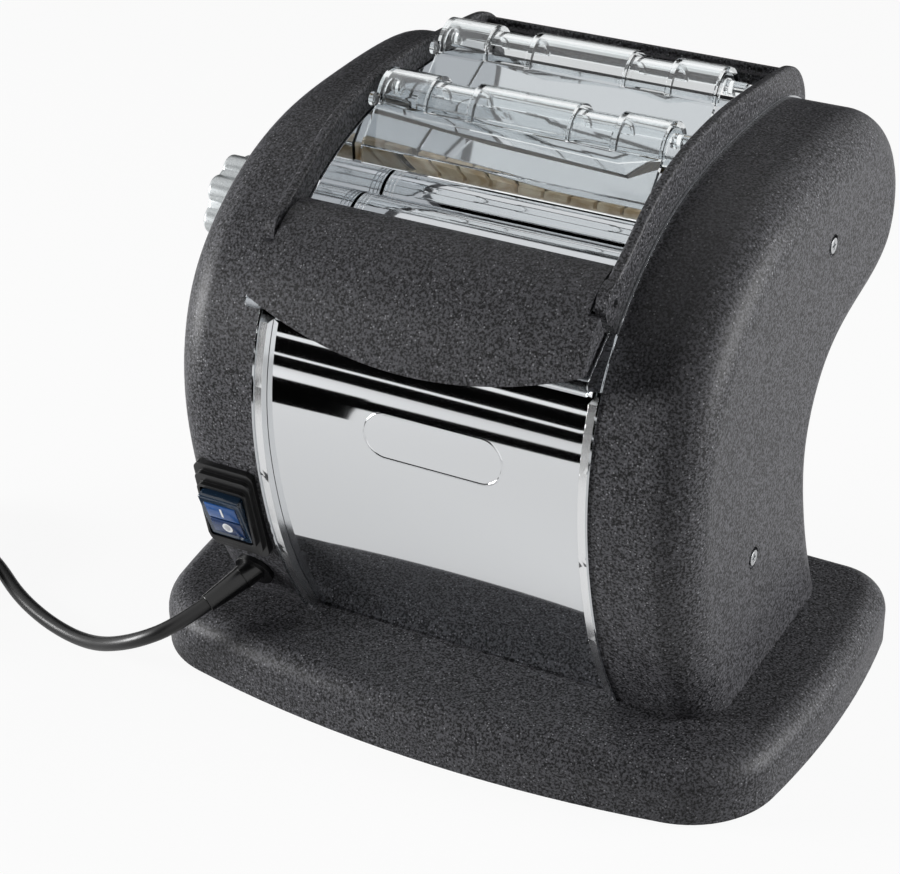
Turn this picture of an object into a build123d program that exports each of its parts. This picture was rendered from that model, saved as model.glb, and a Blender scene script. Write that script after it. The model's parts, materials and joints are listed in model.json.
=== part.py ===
from build123d import *
from math import atan2, cos, degrees, hypot, pi, radians, sin, sqrt, tan
import os

# Electric pasta maker, millimetres. +X is the operator's right, +Y points away from the
# operator, +Z is up. The origin is on the table, under the middle of the machine.
os.makedirs("parts", exist_ok=True)

# ---- driving dimensions -------------------------------------------------------------

foot_height = 2.0
base_half_width = 159.4
base_front_y = -126.5
base_rear_y = 77.5
base_top_z = 30.0
base_edge_radius = 13.0
base_wall = 4.0

cover_inner_x = 80.2
cover_outer_x = 125.0
cover_edge_radius = 20.0
cover_wall = 2.6

side_plate_inner_x = 73.2
side_plate_outer_x = 75.2
trim_inner_x = 75.4
edge_plate_inner_x = 79.2
rail_inner_x = 74.2
rail_outer_x = 79.0

roller_radius = 14.1
roller_half_length = 72.4
roller_pitch = 28.5
roller_gap_max = 2.2
rear_roller = (0.5, 205.0)
front_roller = (rear_roller[0] - roller_pitch, rear_roller[1])
roller_shaft_radius = 5.0

cutter_radius = 11.3
cutter_core_radius = 8.5
cutter_pitch = 21.0
cutter_half_length = 72.4
front_cutter = (34.5, 202.0)
rear_cutter = (front_cutter[0] + cutter_pitch, front_cutter[1])
cutter_shaft_radius = 4.0
noodle_width = 6.5
disc_width = 6.3

running_fit = 0.06

gear_module = 1.5
roller_teeth = 19
cutter_teeth = 14
idler_teeth = 32
pinion_teeth = 12
wheel_module = 1.25
wheel_teeth = 44
motor_pinion_teeth = 12
gear_plane_x = (84.0, 91.0)
wheel_plane_x = (96.0, 103.0)
axle_radius = 3.5

flap_hinge = (-88.1, 228.0)
flap_hinge_radius = 2.0
flap_boss_radius = 9.0
front_guard_pin = (1.5, 259.6)
rear_guard_pin = (56.0, 263.8)
guard_left_x = -71.0
guard_right_x = 65.2
guard_bar_radius = 13.0
guard_neck_radius = 10.6
guard_wall = 2.5
guard_pin_radius = 2.0

knob_axis = (front_roller[0], 200.0)
knob_radius = 24.0
knob_core_radius = 20.6
knob_lobe_radius = 6.8
knob_lobes = 8
knob_end_x = -143.0
knob_start_x = -128.0
knob_shaft_radius = 6.0

switch_centre = (-98.5, -105.2, 92.0)
switch_lean = 13.0
rocker_tilt = 8.5

cord_diameter = 7.0

# Side view of the covers, from inside the base at the front, over the top, to the base
# again at the back: (y, z). The covers start at the base's top.
side_view = [
    (-71.5, 15.0),
    (-79.5, 30.0),
    (-94.5, 60.0),
    (-108.5, 107.0),
    (-112.5, 144.0),
    (-108.5, 175.0),
    (-96.5, 202.0),
    (-75.5, 224.0),
    (-44.5, 242.0),
    (-9.5, 251.5),
    (24.5, 254.0),
    (66.5, 254.0),
    (83.0, 252.0),
    (108.5, 239.5),
    (123.5, 218.0),
    (126.5, 192.0),
    (117.5, 173.0),
    (97.5, 161.5),
    (64.5, 153.5),
    (43.0, 143.0),
    (31.0, 122.0),
    (32.5, 92.0),
    (42.5, 59.0),
    (55.5, 30.0),
    (64.0, 14.0),
]

# Crest of the guard frame's rails in the same view.
rail_crest = [
    (112.0, 236.0),
    (109.0, 250.0),
    (98.0, 261.0),
    (78.5, 265.5),
    (49.5, 268.0),
    (21.5, 269.5),
    (-1.5, 268.8),
    (-24.5, 266.0),
    (-45.5, 260.0),
    (-59.5, 253.0),
    (-72.5, 245.0),
    (-87.0, 237.2),
    (-96.8, 231.0),
]


# ---- helpers ------------------------------------------------------------------------

def save(piece, name):
    """Label a finished piece and write it as its own STEP file."""
    piece.part.label = name
    export_step(piece.part, f"parts/{name}.step")
    print(f"{name:24s} {len(piece.part.solids()):3d} solids {piece.part.volume / 1000:9.2f} cm3")


def both_sides():
    """Yield each side's name and the sign of its X."""
    yield "left", -1
    yield "right", 1


def side_plane(x):
    """Plane facing +X at this X, with its own x and y along world Y and Z."""
    return Plane.YZ.offset(x)


def span(sign, inner, outer):
    """Lowest and highest X of a piece between two distances from the middle."""
    return (inner, outer) if sign > 0 else (-outer, -inner)


side_curve = Spline(*side_view)
side_curve_steps = 44


def grown_side_view(grow):
    """Points of the side view moved outwards by this much."""
    points = []
    for step in range(side_curve_steps + 1):
        share = step / side_curve_steps
        here = side_curve @ share
        along = side_curve % share
        points.append((here.X - along.Y * grow, here.Y + along.X * grow))
    return points


def add_side_view(grow=0.0, mode=Mode.ADD):
    """Put the side view's face above the base in the sketch, grown or shrunk by a distance."""
    with BuildSketch(mode=Mode.PRIVATE) as face:
        with BuildLine():
            top = Spline(*(grown_side_view(grow) if grow else side_view))
            Line(top @ 1, top @ 0)
        make_face()
        add_region((-140.0, base_top_z), (140.0, 280.0))
    add(face.sketch, mode=mode)


def add_region(low, high, mode=Mode.INTERSECT):
    """Add, cut or keep the rectangle between two (y, z) corners in the current sketch."""
    with Locations(((low[0] + high[0]) / 2, (low[1] + high[1]) / 2)):
        Rectangle(high[0] - low[0], high[1] - low[1], mode=mode)


def rod(x_low, x_high, centre, radius, bore=0.0):
    """A round bar or tube along X, in the current part."""
    with BuildSketch(side_plane(x_low)) as section:
        with Locations(centre):
            Circle(radius)
            if bore:
                Circle(bore, mode=Mode.SUBTRACT)
    extrude(section.sketch, amount=x_high - x_low)


def drill(x_low, x_high, centre, radius):
    """A round hole along X, in the current part."""
    with BuildSketch(side_plane(x_low)) as section:
        with Locations(centre):
            Circle(radius)
    extrude(section.sketch, amount=x_high - x_low, mode=Mode.SUBTRACT)


def strip(x_low, x_high, points, thickness):
    """A bent sheet along X whose middle line runs through (y, z) points."""
    with BuildSketch(side_plane(x_low)) as section:
        with BuildLine():
            Polyline(*points)
        trace(line_width=thickness)
    extrude(section.sketch, amount=x_high - x_low)


def block(low, high, mode=Mode.ADD):
    """A plain block between two (x, y, z) corners, in the current part."""
    centre = tuple((a + b) / 2 for a, b in zip(low, high))
    with Locations(centre):
        Box(*[b - a for a, b in zip(low, high)], mode=mode)


# ---- gear train ---------------------------------------------------------------------

def gear_radius(teeth, module):
    """Pitch radius of a gear."""
    return teeth * module / 2


def direction(start, end):
    """Angle in degrees of the line from one (y, z) point to another."""
    return degrees(atan2(end[1] - start[1], end[0] - start[0]))


def mesh_turn(turn, teeth, other_teeth, angle):
    """Turn of a gear that meshes with one already turned, seen along this angle."""
    return angle + 180 - (teeth * (turn - angle) + 180) / other_teeth


def below_pair(first, second, first_distance, second_distance):
    """The lower point at the given distances from two points."""
    gap = hypot(second[0] - first[0], second[1] - first[1])
    along = (first_distance**2 - second_distance**2 + gap**2) / (2 * gap)
    down = sqrt(first_distance**2 - along**2)
    ux, uy = (second[0] - first[0]) / gap, (second[1] - first[1]) / gap
    return (first[0] + ux * along + uy * down, first[1] + uy * along - ux * down)


def polar(centre, angle, distance):
    """The point at an angle and a distance from a centre."""
    return (centre[0] + distance * cos(radians(angle)), centre[1] + distance * sin(radians(angle)))


def add_gear(x_range, centre, teeth, module, turn, bore):
    """A spur gear along X, in the current part, with a tooth centred on its turn angle."""
    pitch = gear_radius(teeth, module)
    tip = pitch + 0.85 * module
    root = pitch - 1.2 * module
    step = 360 / teeth
    corners = [(root, -0.30), (pitch, -0.215), (tip, -0.10), (tip, 0.10), (pitch, 0.215), (root, 0.30)]
    outline = [
        polar(centre, turn + step * (tooth + share), radius)
        for tooth in range(teeth)
        for radius, share in corners
    ]
    with BuildSketch(side_plane(x_range[0])) as section:
        with BuildLine():
            Polyline(*outline, close=True)
        make_face()
        with Locations(centre):
            Circle(bore, mode=Mode.SUBTRACT)
    extrude(section.sketch, amount=x_range[1] - x_range[0])


idler_centre = below_pair(
    rear_roller,
    front_cutter,
    gear_radius(roller_teeth + idler_teeth, gear_module),
    gear_radius(idler_teeth + cutter_teeth, gear_module),
)
reduction_centre = polar(idler_centre, -138.6, gear_radius(idler_teeth + pinion_teeth, gear_module))
motor_centre = polar(reduction_centre, -134.0, gear_radius(wheel_teeth + motor_pinion_teeth, wheel_module))

rear_roller_turn = 0.0
front_roller_turn = mesh_turn(rear_roller_turn, roller_teeth, roller_teeth, direction(rear_roller, front_roller))
idler_turn = mesh_turn(rear_roller_turn, roller_teeth, idler_teeth, direction(rear_roller, idler_centre))
front_cutter_turn = mesh_turn(idler_turn, idler_teeth, cutter_teeth, direction(idler_centre, front_cutter))
rear_cutter_turn = mesh_turn(front_cutter_turn, cutter_teeth, cutter_teeth, direction(front_cutter, rear_cutter))
pinion_turn = mesh_turn(idler_turn, idler_teeth, pinion_teeth, direction(idler_centre, reduction_centre))
wheel_turn = 0.0
motor_turn = mesh_turn(wheel_turn, wheel_teeth, motor_pinion_teeth, direction(reduction_centre, motor_centre))
print("idler", idler_centre, "reduction", reduction_centre, "motor", motor_centre)


# ---- base ---------------------------------------------------------------------------

front_corner = (148.0, 18.0)
rear_corner = (152.0, 2.0)
front_round = 45.0
rear_round = 26.0
side_bow_y = -1.5


def add_base_plan(inset=0.0):
    """The base's outline in plan: four bowed sides with round corners."""
    half_width = base_half_width - inset
    front_y = base_front_y + inset
    rear_y = base_rear_y - inset
    with BuildSketch(mode=Mode.PRIVATE) as plan:
        with BuildLine():
            front_left = (inset - front_corner[0], front_y + front_corner[1])
            front_right = (front_corner[0] - inset, front_y + front_corner[1])
            rear_right = (rear_corner[0] - inset, rear_y - rear_corner[1])
            rear_left = (inset - rear_corner[0], rear_y - rear_corner[1])
            ThreePointArc(front_left, (0, front_y), front_right)
            ThreePointArc(front_right, (half_width, side_bow_y), rear_right)
            ThreePointArc(rear_right, (0, rear_y), rear_left)
            ThreePointArc(rear_left, (-half_width, side_bow_y), front_left)
        make_face()
        fillet(plan.vertices().group_by(Axis.Y)[0], front_round - inset)
        fillet(plan.vertices().group_by(Axis.Y)[-1], rear_round - inset)
    add(plan.sketch)


base_screw_spots = [(x, y) for x in (-118, 118) for y in (-75, 35)]
base_boss_radius = 6.0
screw_radius = 1.8


def base_form(inset, top_z, edge_radius):
    """The base's outer form, or the same form a wall's thickness smaller."""
    with BuildPart() as form:
        with BuildSketch(Plane.XY.offset(foot_height)):
            add_base_plan(inset)
        extrude(amount=top_z - foot_height)
        fillet(form.faces().sort_by(Axis.Z)[-1].edges(), edge_radius)
    return form.part


base_outer = base_form(0.0, base_top_z, base_edge_radius)
base_inner = base_form(base_wall, base_top_z - base_wall, base_edge_radius - base_wall)

with BuildPart() as base_housing:
    add(base_outer)
    add(base_inner, mode=Mode.SUBTRACT)
    with BuildSketch(Plane.XY.offset(foot_height + 1.5)):
        with Locations(*base_screw_spots):
            Circle(base_boss_radius)
            Circle(screw_radius, mode=Mode.SUBTRACT)
    extrude(amount=base_top_z - base_wall - foot_height - 1.0)
save(base_housing, "base_housing")

with BuildPart() as base_plate:
    with BuildSketch(Plane.XY.offset(foot_height)):
        add_base_plan(base_wall + 0.3)
        with Locations(*base_screw_spots):
            Circle(screw_radius, mode=Mode.SUBTRACT)
    extrude(amount=1.5)
save(base_plate, "base_plate")

foot_spots = [(x, y) for x in (-124, 124) for y in (-88, 50)]

with BuildPart() as rubber_feet:
    with BuildSketch(Plane.XY):
        with Locations(*foot_spots):
            Circle(10.0)
    extrude(amount=foot_height)
    chamfer(rubber_feet.faces().group_by(Axis.Z)[0].edges(), 0.6)
save(rubber_feet, "rubber_feet")

with BuildPart() as base_screws:
    with BuildSketch(Plane.XY.offset(foot_height - 1.4)):
        with Locations(*base_screw_spots):
            Circle(3.6)
    extrude(amount=1.4)
    with BuildSketch(Plane.XY.offset(foot_height)):
        with Locations(*base_screw_spots):
            Circle(screw_radius)
    extrude(amount=12.0)
save(base_screws, "base_screws")


# ---- switch and gland places on the left cover --------------------------------------

def leaning_plane(centre, lean):
    """Plane on the cover's front that faces the operator and leans down by an angle."""
    tilt = radians(lean)
    return Plane(origin=centre, x_dir=(1, 0, 0), z_dir=(0, -cos(tilt), -sin(tilt)))


switch_plane = leaning_plane(switch_centre, switch_lean)
rocker_size = (22.0, 27.4)
rocker_window = (22.8, 29.6)
bezel_height = 6.5

gland_centre = (-99.0, -91.0, 51.0)
cord_exit_dir = Vector(-0.42, -0.84, -0.34).normalized()
boot_length = 28.0
boot_start = Vector(*gland_centre)
boot_end = boot_start + cord_exit_dir * boot_length
gland_plane = Plane(origin=gland_centre, x_dir=(1, -0.5, 0), z_dir=tuple(cord_exit_dir))


# ---- covers -------------------------------------------------------------------------

cover_screw_spots = [(31.4, 212.0), (-42.0, 96.0)]
cover_screw_recess = 5.0
cover_screw_sink = 1.4
cover_screw_radius = 2.1


def cover_form(sign, shrink):
    """A cover's outer form, or the same form a wall's thickness smaller."""
    outer_x = cover_outer_x - shrink
    low, high = span(sign, cover_inner_x, outer_x)
    with BuildPart() as form:
        with BuildSketch(side_plane(low)):
            add_side_view(-shrink)
        extrude(amount=high - low)
        outer_face = form.faces().sort_by(Axis.X)[-1 if sign > 0 else 0]
        rim = outer_face.edges().sort_by(Axis.Z)[1:]
        fillet(rim, cover_edge_radius - shrink)
    return form.part


def make_cover(sign):
    """A side cover: a deep shell, open towards the machine, with its screw holes."""
    low, high = span(sign, cover_inner_x, cover_outer_x)
    wall_low, wall_high = span(sign, cover_outer_x - cover_wall, cover_outer_x)
    with BuildPart() as cover:
        add(cover_form(sign, 0.0))
        add(cover_form(sign, cover_wall), mode=Mode.SUBTRACT)
        for spot in cover_screw_spots:
            drill(low, high, spot, cover_screw_radius + 0.1)
            seat_low, seat_high = span(sign, cover_outer_x - cover_screw_sink, cover_outer_x)
            drill(seat_low, seat_high, spot, cover_screw_recess)
        if sign < 0:
            drill(low, high, knob_axis, knob_shaft_radius + 1.0)
            with BuildSketch(switch_plane.offset(-12)):
                RectangleRounded(rocker_window[0] + 1.6, rocker_window[1] + 1.6, 2.0)
            extrude(amount=24, mode=Mode.SUBTRACT)
            with BuildSketch(gland_plane.offset(-14)):
                Circle(6.0)
            extrude(amount=28, mode=Mode.SUBTRACT)
    return cover


for side, sign in both_sides():
    save(make_cover(sign), f"{side}_cover")

screw_head_radius = 3.5
screw_head_x = (cover_outer_x - cover_screw_sink, cover_outer_x + 0.4)
screw_slot = (4.0, 0.9, 1.1)
screw_shank_length = 6.6

with BuildPart() as cover_screws:
    for side, sign in both_sides():
        head_low, head_high = span(sign, *screw_head_x)
        shank_low, shank_high = span(sign, screw_head_x[0] - screw_shank_length, screw_head_x[0])
        slot_low, slot_high = span(sign, screw_head_x[1] - screw_slot[2], screw_head_x[1])
        for spot in cover_screw_spots:
            rod(head_low, head_high, spot, screw_head_radius)
            rod(shank_low, shank_high, spot, cover_screw_radius)
            with BuildSketch(side_plane(slot_low)) as cross:
                with Locations(spot):
                    Rectangle(screw_slot[0], screw_slot[1])
                    Rectangle(screw_slot[1], screw_slot[0])
            extrude(cross.sketch, amount=slot_high - slot_low, mode=Mode.SUBTRACT)
save(cover_screws, "cover_screws")


# ---- steel frame --------------------------------------------------------------------

tie_rod_spots = [(-84.0, 62.0), (29.0, 62.0), (-96.0, 150.0), (100.0, 215.0), (88.0, 182.0)]
tie_rod_radius = 4.0
tie_end_radius = 2.5
tie_nut_radius = 4.6
tie_nut_thickness = 3.0
bush_radius = 8.0
cutter_bush_radius = 5.8
bearing_travel = roller_gap_max + 0.6
link_bar_spot = (front_roller[0] - 18.5, front_roller[1] - 12.0)
link_bar_radius = 2.5
lip_z = 192.0
panel_inset = 4.0
panel_thickness = 1.5


def make_side_plate(sign):
    """A side plate that carries the rollers, with its holes and the bearing slot."""
    low, high = span(sign, side_plate_inner_x, side_plate_outer_x)
    with BuildPart() as plate:
        with BuildSketch(side_plane(low)):
            add_side_view(-panel_inset - panel_thickness - 1.0)
            with BuildSketch(mode=Mode.PRIVATE) as crown:
                add_side_view(4.0)
                add_region((-70.5, 200.0), (88.5, 275.0))
            add(crown.sketch)
            with Locations(rear_roller):
                Circle(bush_radius, mode=Mode.SUBTRACT)
            with Locations(front_cutter, rear_cutter):
                Circle(cutter_bush_radius, mode=Mode.SUBTRACT)
            with Locations((front_roller[0] - bearing_travel / 2 + 0.3, front_roller[1])):
                SlotOverall(2 * (bush_radius + 0.3) + bearing_travel, 2 * (bush_radius + 0.3), mode=Mode.SUBTRACT)
            with Locations((link_bar_spot[0] - bearing_travel / 2 + 0.3, link_bar_spot[1])):
                bar_slot = 2 * (link_bar_radius + 0.4)
                SlotOverall(bar_slot + bearing_travel, bar_slot, mode=Mode.SUBTRACT)
            with Locations(*tie_rod_spots):
                Circle(tie_end_radius, mode=Mode.SUBTRACT)
            if sign > 0:
                with Locations(motor_centre):
                    Circle(8.0, mode=Mode.SUBTRACT)
        extrude(amount=high - low)
    return plate


for side, sign in both_sides():
    save(make_side_plate(sign), f"{side}_side_plate")

with BuildPart() as tie_rods:
    for spot in tie_rod_spots:
        rod(-side_plate_inner_x, side_plate_inner_x, spot, tie_rod_radius)
        rod(side_plate_inner_x, side_plate_outer_x + 3.6, spot, tie_end_radius)
        rod(-side_plate_outer_x - 3.6, -side_plate_inner_x, spot, tie_end_radius)
        for side, sign in both_sides():
            low, high = span(sign, side_plate_outer_x, side_plate_outer_x + tie_nut_thickness)
            with BuildSketch(side_plane(low)) as nut:
                with Locations(spot):
                    RegularPolygon(tie_nut_radius, 6)
                    Circle(tie_end_radius + running_fit, mode=Mode.SUBTRACT)
            extrude(nut.sketch, amount=high - low)
save(tie_rods, "tie_rods")

with BuildPart() as frame_floor:
    block((-side_plate_inner_x, -72, base_top_z), (side_plate_inner_x, 44, base_top_z + 2))
save(frame_floor, "frame_floor")

with BuildPart() as front_panel:
    with BuildSketch(side_plane(-side_plate_outer_x)):
        add_side_view(-panel_inset)
        add_side_view(-panel_inset - panel_thickness, mode=Mode.SUBTRACT)
        add_region((-120.0, base_top_z + 0.5), (-40.0, lip_z))
    extrude(amount=2 * side_plate_outer_x)
    block((-side_plate_inner_x + 0.2, -101.0, lip_z - 1.5), (side_plate_inner_x - 0.2, -92.0, lip_z))
save(front_panel, "front_panel")

with BuildPart() as rear_panel:
    with BuildSketch(side_plane(-side_plate_outer_x)):
        add_side_view(-panel_inset)
        add_side_view(-panel_inset - panel_thickness, mode=Mode.SUBTRACT)
        add_region((15.0, base_top_z + 0.5), (130.0, 240.0))
    extrude(amount=2 * side_plate_outer_x)
save(rear_panel, "rear_panel")

trim_top_z = 189.5


def make_trim(sign):
    """The bright strip between a side cover and the front panel."""
    low, high = span(sign, trim_inner_x, edge_plate_inner_x)
    with BuildPart() as trim:
        with BuildSketch(side_plane(low)):
            add_side_view(0.3)
            add_side_view(-panel_inset - panel_thickness, mode=Mode.SUBTRACT)
            add_region((-125.0, base_top_z), (-60.0, trim_top_z))
        extrude(amount=high - low)
    return trim


for side, sign in both_sides():
    save(make_trim(sign), f"{side}_trim_strip")

cheek_corners = [(-82.0, 209.0), (-97.0, 191.0), (-101.5, 194.5), (-116.5, 202.6), (-94.5, 218.6), (-86.5, 213.0)]
cheek_thickness = 0.5


def make_edge_plate(sign):
    """The thin polished plate whose rim shows along a cover, with its ear under the flap."""
    low, high = span(sign, edge_plate_inner_x, cover_inner_x)
    with BuildPart() as edge_plate:
        with BuildSketch(side_plane(low)):
            add_side_view(0.8)
            add_side_view(-9.0, mode=Mode.SUBTRACT)
        extrude(amount=high - low)
        cheek_low, cheek_high = span(sign, edge_plate_inner_x, edge_plate_inner_x + cheek_thickness)
        with BuildSketch(side_plane(cheek_low)) as cheek:
            with BuildLine():
                Polyline(*cheek_corners, close=True)
            make_face()
            fillet(cheek.vertices().sort_by(Axis.X)[0], 3.0)
        extrude(amount=cheek_high - cheek_low)
    return edge_plate


for side, sign in both_sides():
    save(make_edge_plate(sign), f"{side}_edge_plate")


# ---- guard frame --------------------------------------------------------------------

rail_round = 1.6


def make_rail(sign):
    """A curved rail of the guard frame, with the flap's pin boss at its lower end."""
    low, high = span(sign, rail_inner_x, rail_outer_x)
    channel_low, channel_high = span(sign, rail_inner_x, side_plate_outer_x + 0.4)
    with BuildPart() as rail:
        with BuildSketch(side_plane(low)):
            with BuildLine():
                crest = Spline(*rail_crest)
                Polyline(crest @ 1, (-80, 200), (80, 200), crest @ 0)
            make_face()
        extrude(amount=high - low)
        fillet(rail.edges().filter_by(GeomType.BSPLINE), rail_round)
        rod(low, high, flap_hinge, flap_boss_radius)
        with BuildSketch(side_plane(low)):
            add_side_view(-1.0)
        extrude(amount=high - low, mode=Mode.SUBTRACT)
        with BuildSketch(side_plane(channel_low)):
            add_side_view(4.6)
            add_region((-78.0, 200.0), (101.5, 275.0))
        extrude(amount=channel_high - channel_low, mode=Mode.SUBTRACT)
        drill(low, high, flap_hinge, flap_hinge_radius + running_fit)
        pin_low, pin_high = span(sign, rail_inner_x, rail_inner_x + 1.8)
        drill(pin_low, pin_high, front_guard_pin, guard_pin_radius + running_fit)
        drill(pin_low, pin_high, rear_guard_pin, guard_pin_radius + running_fit)
    return rail


for side, sign in both_sides():
    save(make_rail(sign), f"{side}_guard_rail")

rear_bar_profile = [(89.5, 252.5), (89.5, 257.5), (93.0, 257.5), (93.0, 261.6), (103.5, 257.0), (106.5, 250.0)]

with BuildPart() as rear_guard_bar:
    with BuildSketch(side_plane(-rail_inner_x)):
        with BuildLine():
            Polyline(*rear_bar_profile, close=True)
        make_face()
    extrude(amount=2 * rail_inner_x)
    fillet(rear_guard_bar.edges().filter_by(Axis.X).sort_by(Axis.Z)[-2:], 1.4)
save(rear_guard_bar, "rear_guard_bar")


# ---- front flap ---------------------------------------------------------------------

flap_profile = [(-74.5, 235.5), (-88.0, 234.0), (-99.9, 225.6), (-108.3, 216.0), (-114.0, 205.8), (-122.0, 191.0)]
flap_thickness = 2.4
flap_half_width = 77.8
flap_neck_half_width = 72.8
flap_neck_z = 226.3
flap_edge_z = 192.5
flap_corner_z = 207.0
flap_wall_thickness = 2.0
flap_wall_edge = [(-99.6, 225.9), (-108.3, 216.0), (-113.3, 207.1)]
flap_wall_corners = [(-108.4, 205.2), (-101.3, 208.0), (-96.0, 213.0), (-92.9, 218.0), (-97.6, 221.5)]
flap_ear_radius = 5.0

with BuildPart() as front_flap:
    with BuildSketch(side_plane(-flap_half_width)):
        with BuildLine():
            Spline(*flap_profile)
        trace(line_width=flap_thickness)
    extrude(amount=2 * flap_half_width)
    with BuildSketch(Plane.XZ.offset(60)):
        with BuildLine():
            Polyline(
                (-flap_half_width, flap_corner_z),
                (-flap_half_width, flap_neck_z),
                (-flap_neck_half_width, flap_neck_z),
                (-flap_neck_half_width, 245),
                (flap_neck_half_width, 245),
                (flap_neck_half_width, flap_neck_z),
                (flap_half_width, flap_neck_z),
                (flap_half_width, flap_corner_z),
            )
            ThreePointArc(
                (flap_half_width, flap_corner_z),
                (0, flap_edge_z),
                (-flap_half_width, flap_corner_z),
            )
        make_face()
    extrude(amount=100, mode=Mode.INTERSECT)
    for side, sign in both_sides():
        wall_low, wall_high = span(sign, flap_half_width - flap_wall_thickness, flap_half_width)
        with BuildSketch(side_plane(wall_low)):
            with BuildLine():
                edge = Spline(*flap_wall_edge)
                Polyline(edge @ 1, *flap_wall_corners, edge @ 0)
            make_face()
        extrude(amount=wall_high - wall_low)
        ear_low, ear_high = span(sign, flap_neck_half_width - 2.2, flap_neck_half_width)
        with BuildSketch(side_plane(ear_low)):
            with Locations(flap_hinge):
                Circle(flap_ear_radius)
            add_region((-92.0, flap_hinge[1]), (-85.0, 233.0), mode=Mode.ADD)
            with Locations(flap_hinge):
                Circle(flap_hinge_radius, mode=Mode.SUBTRACT)
        extrude(amount=ear_high - ear_low)
save(front_flap, "front_flap")

with BuildPart() as flap_hinge_pins:
    for side, sign in both_sides():
        low, high = span(sign, flap_neck_half_width - 3.2, rail_outer_x - 0.3)
        rod(low, high, flap_hinge, flap_hinge_radius)
save(flap_hinge_pins, "flap_hinge_pins")


# ---- clear guards -------------------------------------------------------------------

guard_segments = [(guard_left_x, -46.0), (-26.7, 22.3), (41.3, guard_right_x)]
guard_pin_end_x = rail_inner_x + 1.5
guard_end_wall = 2.0
guard_lug_radius = 3.4
guard_catch_x = -73.8
guard_catch_radius = 3.0


def half_round(x_low, x_high, centre, radius, mode=Mode.ADD):
    """A half-round bar along X, flat side down, in the current part."""
    with BuildSketch(side_plane(x_low)) as section:
        with Locations(centre):
            Circle(radius)
        add_region((centre[0] - radius, centre[1]), (centre[0] + radius, centre[1] + radius))
    extrude(section.sketch, amount=x_high - x_low, mode=mode)


def make_guard(pin, centre, plate_line):
    """A clear hinged guard: a half-round shell with three thicker stretches and a bent plate."""
    bore_radius = guard_neck_radius - guard_wall
    catch_spot = (centre[0] - 11.5, centre[1] + 2.6)
    with BuildPart() as guard:
        half_round(guard_left_x, guard_right_x, centre, guard_neck_radius)
        for low, high in guard_segments:
            half_round(low, high, centre, guard_bar_radius)
        for low, high in guard_segments:
            inner_low, inner_high = low + guard_end_wall, high - guard_end_wall
            half_round(inner_low, inner_high, centre, guard_bar_radius - guard_wall, Mode.SUBTRACT)
        half_round(guard_left_x, guard_right_x, centre, bore_radius, Mode.SUBTRACT)
        strip(guard_left_x, guard_right_x, plate_line, guard_wall)
        rod(guard_left_x, guard_left_x + 3.0, pin, guard_lug_radius)
        rod(guard_right_x - 3.0, side_plate_inner_x - 0.8, pin, guard_lug_radius)
        rod(-guard_pin_end_x, guard_left_x, pin, guard_pin_radius)
        rod(guard_right_x, guard_pin_end_x, pin, guard_pin_radius)
        rod(guard_catch_x, guard_left_x, catch_spot, guard_catch_radius)
    return guard


front_bar = (-4.05, 257.0)
rear_bar = (50.5, 261.8)
front_plate_line = [(-15.8, 257.6), (-29.5, 243.5), (-29.5, 235.5)]
rear_plate_line = [(38.8, 262.4), (18.0, 244.0), (18.0, 239.5)]
save(make_guard(front_guard_pin, front_bar, front_plate_line), "front_clear_guard")
save(make_guard(rear_guard_pin, rear_bar, rear_plate_line), "rear_clear_guard")


# ---- smooth rollers -----------------------------------------------------------------

shaft_left_x = -side_plate_outer_x - 1.5
shaft_right_x = gear_plane_x[1] + 2.0
collar_grooves = (67.0, 69.0, 71.0)
collar_groove_width = 0.9
collar_groove_depth = 0.5


def make_smooth_roller(centre):
    """A ground roller with ribbed ends and two journals, the right one long enough for a gear."""
    with BuildPart() as roller:
        rod(-roller_half_length, roller_half_length, centre, roller_radius)
        for side, sign in both_sides():
            for inner in collar_grooves:
                low, high = span(sign, inner, inner + collar_groove_width)
                with BuildSketch(side_plane(low)) as ring:
                    with Locations(centre):
                        Circle(roller_radius + 1.0)
                        Circle(roller_radius - collar_groove_depth, mode=Mode.SUBTRACT)
                extrude(ring.sketch, amount=high - low, mode=Mode.SUBTRACT)
        rod(shaft_left_x, -roller_half_length, centre, roller_shaft_radius)
        rod(roller_half_length, shaft_right_x, centre, roller_shaft_radius)
    return roller


save(make_smooth_roller(front_roller), "front_smooth_roller")
save(make_smooth_roller(rear_roller), "rear_smooth_roller")

with BuildPart() as front_roller_gear:
    add_gear(gear_plane_x, front_roller, roller_teeth, gear_module, front_roller_turn, roller_shaft_radius)
save(front_roller_gear, "front_roller_gear")

with BuildPart() as rear_roller_gear:
    add_gear(gear_plane_x, rear_roller, roller_teeth, gear_module, rear_roller_turn, roller_shaft_radius)
save(rear_roller_gear, "rear_roller_gear")

bush_x = (roller_half_length + 0.2, side_plate_outer_x + 1.0)

with BuildPart() as roller_bushes:
    for side, sign in both_sides():
        low, high = span(sign, *bush_x)
        rod(low, high, rear_roller, bush_radius, roller_shaft_radius + running_fit)
        for centre in (front_cutter, rear_cutter):
            rod(low, high, centre, cutter_bush_radius, cutter_shaft_radius + running_fit)
save(roller_bushes, "roller_bushes")

bearing_x = (side_plate_outer_x + 0.3, side_plate_outer_x + 4.3)
cam_pad_x = side_plate_outer_x + 9.5
bearing_rear_y = front_roller[0] + 10.5
bearing_front_y = front_roller[0] - 13.0
bearing_foot_y = front_roller[0] - 22.5
cam_pad_y = front_roller[0] - 8.6
cam_pad_half_height = 5.0

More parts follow.
